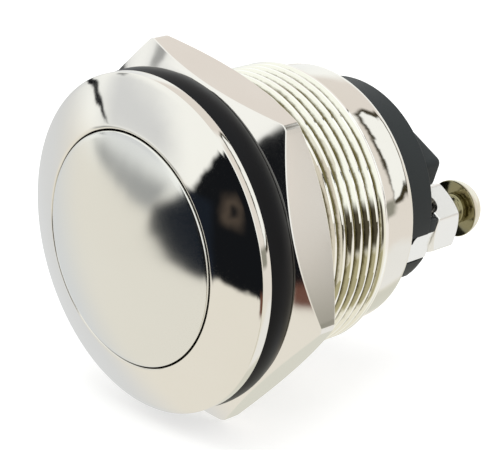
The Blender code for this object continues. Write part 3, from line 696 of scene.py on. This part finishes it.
def nut_mesh(name, across, foot, height, corner_height, bore_r, sink, turn, centre=(0, 0),
             blunt=0.12):
    """A chamfered nut as rows from the bore over one end, down the flats and back over the other."""
    corner_r = across / math.sqrt(3)
    face_r = corner_r - (height - corner_height) / 2 / CONE_SLOPE
    limit = corner_r - blunt
    inner = bore_r + sink
    outline = []
    for side in range(6):
        for share in ALONG_FLAT:
            angle = math.radians(turn) + math.tau * (side + share) / 6
            flat = across / 2 / math.cos(math.tau * share / 6 - math.tau / 12)
            soft = limit - NUT_EDGE * math.exp(-(flat - limit + NUT_EDGE) / NUT_EDGE)
            outline.append((angle, flat if flat < limit - NUT_EDGE else soft))

    def row(place):
        """One closed row of points; place turns a flat's distance into (distance, depth)."""
        spots = [(angle, *place(reach)) for angle, reach in outline]
        return [(centre[0] + r * math.cos(a), y, centre[1] + r * math.sin(a)) for a, r, y in spots]

    def over_end(end, inward):
        """Rows of one end: the sunk bore, the face and the cone down to the flats."""
        def on_face(share):
            return row(lambda reach: (inner + (min(face_r, reach) - 0.02 - inner) * share, end))

        def on_cone(share):
            def place(reach):
                past = max(0.0, reach - face_r - NUT_EDGE) * share
                return min(face_r, reach) + past, end + inward * past * CONE_SLOPE
            return row(place)

        def on_flat(reach):
            return reach, end + inward * (max(0.0, reach - face_r) * CONE_SLOPE + NUT_EDGE)

        return [row(lambda reach: (bore_r, end + inward * sink)), row(lambda reach: (inner, end)),
                *(on_face(share) for share in (0.35, 0.7, 1.0)),
                *(on_cone(share) for share in (0.1, 0.55, 1.0)), row(on_flat)]

    rows = over_end(foot, 1)
    rows.append(row(lambda reach: (reach, foot + height / 2)))
    rows += over_end(foot + height, -1)[::-1]
    return outward(skin(name, rows, wrap_rows=True))


nut_shape = nut_mesh("hex_nut", across=25.3, foot=SEAT_GAP, height=3.7, corner_height=1.2,
                     bore_r=SLIDE_R, sink=0.35, turn=45)
nut = publish("hex_nut", nut_shape, NUT_NICKEL, sharp=12)
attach(nut, "nut")
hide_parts("panel_nut")
print("hex_nut:", len(nut.data.polygons), "faces")

# %% [markdown]
# ## Moulded base
# The base closes the barrel and carries the terminals. It is built as the mould tool is: a turned
# body, a Z shaped barrier between the two terminals and low curbs on the rim, joined, and then the
# slots for the terminal legs and the pilot holes for the screws cut out. The corners of the barrier
# are rounded before the join. The row of terminals is built level and turned when it is done.

# %% tools for moulded and bent pieces
def solid(name, mesh):
    """A plain object of a mesh, to be joined or cut."""
    obj = bpy.data.objects.new(name, mesh)
    bpy.context.scene.collection.objects.link(obj)
    return obj


def prism_mesh(name, outline, low, high):
    """A straight walled block over an outline of (along, across) points."""
    shape = bmesh.new()
    base = shape.faces.new([shape.verts.new((a * MM, low * MM, c * MM)) for a, c in outline])
    raised = bmesh.ops.extrude_face_region(shape, geom=[base])["geom"]
    bmesh.ops.translate(shape, vec=Vector((0, (high - low) * MM, 0)),
                        verts=[v for v in raised if isinstance(v, bmesh.types.BMVert)])
    bmesh.ops.recalc_face_normals(shape, faces=shape.faces)
    mesh = bpy.data.meshes.new(name)
    shape.to_mesh(mesh)
    shape.free()
    return mesh


def slab(name, along, across, low, high):
    """A block between two places along the row, two across it and two depths."""
    return prism_mesh(name, [(along[0], across[0]), (along[1], across[0]), (along[1], across[1]),
                             (along[0], across[1])], low, high)


def soften(obj, width, segments):
    """Round every sharp edge of obj before it is joined."""
    bevel = obj.modifiers.new("edge", "BEVEL")
    bevel.width = width * MM
    bevel.segments = segments
    bevel.limit_method = "ANGLE"
    bevel.angle_limit = math.radians(40)


def shaped(obj, parts):
    """obj with each part joined or cut, as one new mesh; the parts are used up."""
    for part, operation in parts:
        change = obj.modifiers.new("part", "BOOLEAN")
        change.object, change.operation, change.solver = part, operation, "EXACT"
    evaluated = obj.evaluated_get(bpy.context.evaluated_depsgraph_get())
    mesh = bpy.data.meshes.new_from_object(evaluated)
    for used in [obj, *(part for part, _ in parts)]:
        bpy.data.objects.remove(used)
    return mesh


print("blocks can be softened, joined and cut")

# %% sizes of the base
ROW_TURN = 20.0       # degrees from level to the row of terminals
SLOT_GAP = 0.1        # round a leg in its slot
BASE_R, BASE_FRONT, BASE_END = 8.65, 6.64, 18.5
FLANGE_R, FLANGE_END = 9.15, 13.98
HOLLOW_R, HOLLOW_END = 7.75, 15.26
EAR_L, EAR_OUT, EAR_WALL, WALL, EAR_SPREAD = 6.45, 5.9, 2.5, 1.1, 10.5
BARRIER_END, CURB_END, SUNK = 20.25, 19.25, 18.0      # both start SUNK deep in the body
CURB_R, CURB_INNER_R, CURB_ARCS = 8.6, 8.15, ((3.0, 12.8), (-30.0, -10.0))
SCREW_AT, PILOT_R, PILOT_FLOOR = 6.1, 1.33, 17.46
LEG_EDGES, LEG_END = (-1.75, 0.75), 14.44             # across the row, by the curb and by the ear
LEG_OUT, STRIP = 8.4, 0.8                             # outer face of the leg, thickness of the strip
CUT_END = 19.5        # cuts start clear above the body
print("the base is", round(BASE_END - BASE_FRONT, 2), "mm deep")

# %% the base with its barrier and curbs
base_body = solid("base_body", spun("base_body", rounded([
    (0, BASE_END), (BASE_R, BASE_END, 0.15), (BASE_R, FLANGE_END), (FLANGE_R, FLANGE_END),
    (FLANGE_R, BASE_FRONT), (HOLLOW_R, BASE_FRONT), (HOLLOW_R, HOLLOW_END), (0, HOLLOW_END),
], closed=False), 160))
wide = EAR_OUT + (EAR_L + WALL) * math.tan(math.radians(EAR_SPREAD))
half = [(WALL, EAR_OUT - EAR_WALL), (EAR_L, EAR_OUT - EAR_WALL), (EAR_L, EAR_OUT), (-WALL, wide)]
z_shape = half + [(-a, -c) for a, c in half]
barrier = solid("barrier", prism_mesh("barrier", z_shape, SUNK, BARRIER_END))
soften(barrier, 0.5, 5)
parts = [(barrier, "UNION")]
for half_turn in (0, 180):
    for start, end in CURB_ARCS:
        sweep = np.radians(np.linspace(start, end, 12) + half_turn)
        outline = [(CURB_R * math.cos(a), CURB_R * math.sin(a)) for a in sweep]
        outline += [(CURB_INNER_R * math.cos(a), CURB_INNER_R * math.sin(a)) for a in sweep[::-1]]
        curb = solid(f"curb_{half_turn}_{start}", prism_mesh("curb", outline, SUNK, CURB_END))
        soften(curb, 0.06, 2)
        parts.append((curb, "UNION"))
print(len(parts), "raised parts on the base")

# %% slots and pilot holes
for side in (1, -1):
    along = sorted((side * (LEG_OUT - STRIP - SLOT_GAP), side * (FLANGE_R + 0.5)))
    across = sorted((side * (LEG_EDGES[0] - SLOT_GAP), side * (LEG_EDGES[1] + SLOT_GAP)))
    slot = slab("slot", along, across, LEG_END - SLOT_GAP, CUT_END)
    parts.append((solid(f"slot_{side}", slot), "DIFFERENCE"))
    pilot = spun("pilot", [(0, PILOT_FLOOR), (PILOT_R, PILOT_FLOOR), (PILOT_R, CUT_END),
                           (0, CUT_END)], 48, (side * SCREW_AT, 0))
    parts.append((solid(f"pilot_{side}", pilot), "DIFFERENCE"))
base = publish("base_moulding", shaped(base_body, parts), BASE_PLASTIC, 30, ROW_TURN)
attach(base, "housing")
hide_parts("terminal_base")
print("base_moulding:", len(base.data.polygons), "faces")

# %% [markdown]
# ## Terminals
# Each terminal is one strip of plated brass: an eye under the block, a leg bent down through a slot
# in the base and a blade into the contact chamber. On the eye sits a six sided block, tapped for the
# screw, with an arched opening across its foot.

# %% terminal strips
BLADE_IN, EYE_R = 3.5, 2.1
NECK_END, NECK_ROUND = 17.2, 0.7      # narrow up to here, then a round shoulder
NECK_CUT, NECK_CUT_ALONG, NECK_CUT_FOOT = 1.5, (6.8, 9.4), 13.5
eye_foot = BASE_END + SEAT_GAP
eye_top = eye_foot + STRIP


def strip_mesh(side):
    """Eye, leg and blade of one terminal, with a screw hole and a narrow neck."""
    screw_axis = (side * SCREW_AT, 0)
    leg_across = sorted(side * edge for edge in LEG_EDGES)

    def leg_part(name, near, far, low, high):
        return solid(name, slab(name, sorted((side * near, side * far)), leg_across, low, high))

    # the cutter beside the neck is drawn from the side and laid over by swapping its two axes
    shoulder = [(NECK_END + NECK_ROUND * (1 - math.sin(a)),
                 side * (LEG_EDGES[1] - NECK_ROUND * (1 - math.cos(a))))
                for a in np.linspace(0, math.pi / 2, 12)]
    beside = prism_mesh("beside_neck", [
        (NECK_CUT_FOOT, side * NECK_CUT), (NECK_END + NECK_ROUND, side * NECK_CUT), *shoulder,
        (NECK_CUT_FOOT, side * (LEG_EDGES[1] - NECK_ROUND))],
        *sorted(side * end for end in NECK_CUT_ALONG))
    for vertex in beside.vertices:
        vertex.co.x, vertex.co.y = vertex.co.y, vertex.co.x

    eye_profile = [(0, eye_foot), (EYE_R, eye_foot), (EYE_R, eye_top), (0, eye_top)]
    hole_profile = [(0, 17), (PILOT_R, 17), (PILOT_R, 21), (0, 21)]
    hole = solid("hole", spun("hole", hole_profile, 48, screw_axis))
    return shaped(solid("eye", spun("eye", eye_profile, 64, screw_axis)), [
        (leg_part("shoulder", SCREW_AT, LEG_OUT, eye_foot, eye_top), "UNION"),
        (leg_part("leg", LEG_OUT - STRIP, LEG_OUT, LEG_END, eye_top), "UNION"),
        (leg_part("blade", BLADE_IN, LEG_OUT, LEG_END, LEG_END + STRIP), "UNION"),
        (hole, "DIFFERENCE"), (solid("beside_neck", outward(beside)), "DIFFERENCE"),
    ])


print("the strip is", STRIP, "mm thick, its eye", 2 * EYE_R, "mm across")

# %% terminal blocks
ARCH_R, ARCH_LIFT, ARCH_TURN, ARCH_REACH = 0.875, 0.075, 20.0, 5.0
block_foot = eye_top + SEAT_GAP


def block_mesh(side):
    """A small six sided nut with a round tunnel across its foot."""
    block = solid("block", nut_mesh("block", across=5.0, foot=block_foot, height=2.8,
                                    corner_height=2.2, bore_r=PILOT_R, sink=0.15, turn=38,
                                    centre=(side * SCREW_AT, 0), blunt=0.05))
    arch = spun("arch", [(0, -ARCH_REACH), (ARCH_R, -ARCH_REACH), (ARCH_R, ARCH_REACH),
                         (0, ARCH_REACH)], 48)
    place = Vector((side * SCREW_AT, block_foot + ARCH_LIFT, 0)) * MM
    arch.transform(Matrix.Translation(place) @ Matrix.Rotation(math.radians(ARCH_TURN), 4, "Y")
                   @ Matrix.Rotation(math.radians(90), 4, "X"))
    return shaped(block, [(solid("arch", arch), "DIFFERENCE")])


for side, hand in ((1, "right"), (-1, "left")):
    strip = publish(f"terminal_strip_{hand}", strip_mesh(side), TERMINAL_NICKEL, 30, ROW_TURN)
    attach(strip, "housing")
    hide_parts(f"terminal_{hand}")

    clamp = publish(f"clamp_block_{hand}", block_mesh(side), TERMINAL_NICKEL, 20, ROW_TURN)
    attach(clamp, "housing")
    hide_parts(f"terminal_block_{hand}")
    print(hand, "strip and block:", len(strip.data.polygons), len(clamp.data.polygons), "faces")

# %% [markdown]
# ## Terminal screws
# Round head screws with a cross recess, backed off so that a wire fits under the head. The recess
# tapers as the driver does, and the shank has a real thread of 0.45 mm pitch.

# %% screws
SCREW_SEAT, SCREW_END = 24.22, 19.62          # depth under the head and at the tip
SCREW_HEAD_R, SCREW_HEAD_H = 2.3, 2.15
SHANK_R, SCREW_PITCH, SCREW_THREAD = 1.25, 0.45, 0.2
RECESS_R, RECESS_HALF, RECESS_TAPER = 1.25, 0.275, 0.55
RECESS_FLOOR, RECESS_CLEAR = 25.47, 27.5      # the recess is cut from clear above the crown
SCREW_STEPS, SCREW_ROWS = 64, 12              # points round a screw, rows for each pitch


def screw_mesh(name, centre):
    """A round head and a threaded shank in one skin, from the crown to the tip."""
    turn = [math.tau * k / SCREW_STEPS for k in range(SCREW_STEPS)]
    head = [(SCREW_HEAD_R * math.sin(a), SCREW_SEAT + SCREW_HEAD_H * math.cos(a))
            for a in np.linspace(0, math.pi / 2, 22)]
    head[-1:] = [(SCREW_HEAD_R, SCREW_SEAT + 0.04), (SCREW_HEAD_R - 0.05, SCREW_SEAT)]
    rows = [[(centre + r * math.cos(a), y, r * math.sin(a)) for a in (turn if r > ON_AXIS else [0])]
            for r, y in head]
    count = round((SCREW_SEAT - SCREW_END) / SCREW_PITCH * SCREW_ROWS)
    for k in range(count + 1):
        y = SCREW_SEAT + (SCREW_END - SCREW_SEAT) * k / count
        fade = min(1.0, (SCREW_SEAT - y) / 0.35)
        point = 0.68 + 0.32 * min(1.0, (y - SCREW_END) / 0.4)
        radii = [(SHANK_R - SCREW_THREAD * groove(y, a, SCREW_PITCH, 0.15, 0.75) * fade) * point
                 for a in turn]
        rows.append([(centre + r * math.cos(a), y, r * math.sin(a)) for r, a in zip(radii, turn)])
    rows.append([(centre, SCREW_END, 0)])
    return outward(skin(name, rows))


for side, hand in ((1, "right"), (-1, "left")):
    centre = side * SCREW_AT
    cuts = []
    for name, arm, thick in (("level", RECESS_R, RECESS_HALF), ("upright", RECESS_HALF, RECESS_R)):
        cutter = solid(name, slab("cross", (centre - arm, centre + arm), (-thick, thick),
                                  RECESS_FLOOR, RECESS_CLEAR))
        for vertex in cutter.data.vertices:
            if vertex.co.y < (RECESS_FLOOR + RECESS_CLEAR) / 2 * MM:
                vertex.co.x = centre * MM + (vertex.co.x - centre * MM) * RECESS_TAPER
                vertex.co.z *= RECESS_TAPER
        cuts.append((cutter, "DIFFERENCE"))
    screw = publish(f"clamp_screw_{hand}", shaped(solid("screw", screw_mesh("screw", centre)), cuts),
                    SCREW_NICKEL, 35, ROW_TURN)
    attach(screw, f"screw_{hand}")
    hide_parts(f"terminal_screw_{hand}")
    print(hand, "screw:", len(screw.data.polygons), "faces")

# %% [markdown]
# ## Springs
# A coil is a round wire along a helix. The tube is built from rings that stand in planes through
# the axis, which is close to square where the helix climbs slowly.


# %% coils
WIRE_POINTS = 10      # points round the wire


def coil(name, mean_r, wire_r, turns, low, high, steps, body):
    """A round wire wound from low to high, closed at both ends."""
    rows, count = [], round(turns * steps)
    for k in range(count + 1):
        share = k / count
        angle = math.tau * turns * share
        y = low + wire_r + (high - low - 2 * wire_r) * share
        out, up = Vector((math.cos(angle), 0, math.sin(angle))), Vector((0, 1, 0))
        rows.append([tuple(out * (mean_r + wire_r * math.cos(t)) + up * (y + wire_r * math.sin(t)))
                     for t in np.linspace(0, math.tau, WIRE_POINTS, endpoint=False)])
    mesh = skin(name, rows)
    shape = bmesh.new()
    shape.from_mesh(mesh)
    bmesh.ops.holes_fill(shape, edges=[e for e in shape.edges if e.is_boundary])
    bmesh.ops.recalc_face_normals(shape, faces=shape.faces)
    shape.to_mesh(mesh)
    shape.free()
    spring = publish(name, mesh, SPRING_STEEL, sharp=60)
    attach(spring, body)
    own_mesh(spring)
    return spring


return_low, return_high = (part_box("return_spring")[k].y / MM for k in (0, 1))
return_coil = coil("return_coil", mean_r=7.55, wire_r=0.29, turns=3.25, low=return_low,
                   high=return_high, steps=40, body="housing")
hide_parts("return_spring")
bridge_low, bridge_high = (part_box("contact_spring")[k].y / MM for k in (0, 1))
bridge_coil = coil("bridge_coil", mean_r=1.1, wire_r=0.145, turns=7.25, low=bridge_low,
                   high=bridge_high, steps=24, body="button")
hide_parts("contact_spring")
print("return spring", round(return_high - return_low, 2), "mm, contact spring",
      round(bridge_high - bridge_low, 2), "mm")

# %% [markdown]
# ## Inner pieces kept from the frame
# Seals, retaining ring, plunger, bridge and contacts sit inside. Their solids are right as they are,
# so they stay and only get their finishes.

# %% finishes of the kept pieces
KEPT = {
    "cap_seal": SEAL_RUBBER, "base_seal": SEAL_RUBBER, "retaining_ring": SPRING_STEEL,
    "plunger": ACETAL, "contact_bridge": BRASS,
    "moving_contact_right": SILVER, "moving_contact_left": SILVER,
    "fixed_contact_right": SILVER, "fixed_contact_left": SILVER,
}
for node_name, finish_of in KEPT.items():
    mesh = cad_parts[node_name].data
    mesh.materials.clear()
    mesh.materials.append(finish_of)
print(len(KEPT), "pieces kept with new finishes")

# %% [markdown]
# ## Sizes and finish
# The dressed button has to stay in the box of its solids.
